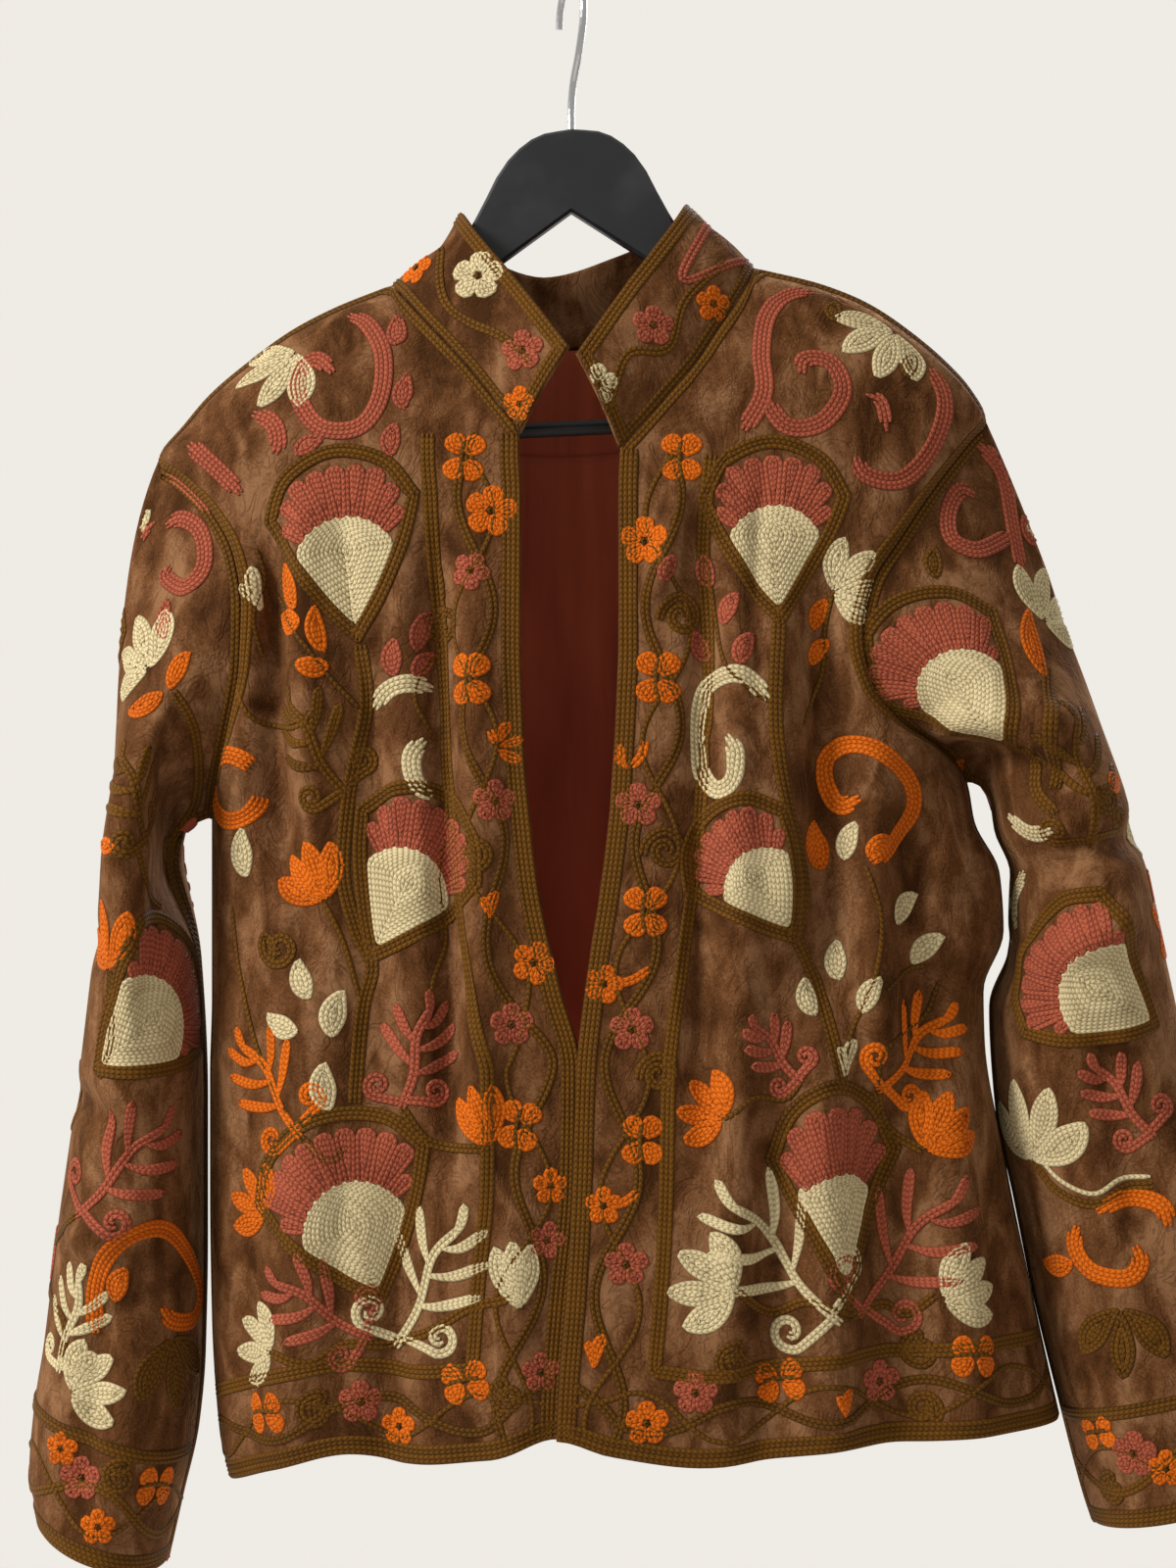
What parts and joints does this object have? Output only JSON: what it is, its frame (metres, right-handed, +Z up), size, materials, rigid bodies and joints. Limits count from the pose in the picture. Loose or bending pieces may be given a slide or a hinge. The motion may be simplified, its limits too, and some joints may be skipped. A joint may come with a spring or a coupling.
{
  "type": "velvet jacket on a hanger",
  "caption": "Open-front velvet jacket with a stand collar, long sleeves and embroidered borders, hung on a black hanger with a wire hook.",
  "frame": {"origin": "inner top of the hook's bend, where a rod or peg carries the hanger", "axes": "+Z up, +X towards the viewer's right, -Y out of the jacket's front"},
  "size_m": [0.6337, 0.1384, 0.8248],
  "materials": {
    "velvet": "crushed pile with chain-stitch embroidery",
    "lining": "plain cotton",
    "black_wood": "matte black paint",
    "hook_chrome": "polished"
  },
  "bodies": {
    "root": {"front_left": "velvet", "front_right": "velvet", "back": "velvet", "sleeve_left": "velvet", "sleeve_right": "velvet", "collar": "velvet", "back_lining": "lining", "hanger_board": "black_wood", "hanger_bar": "black_wood", "hanger_hook": "hook_chrome"}
  },
  "joints": []
}
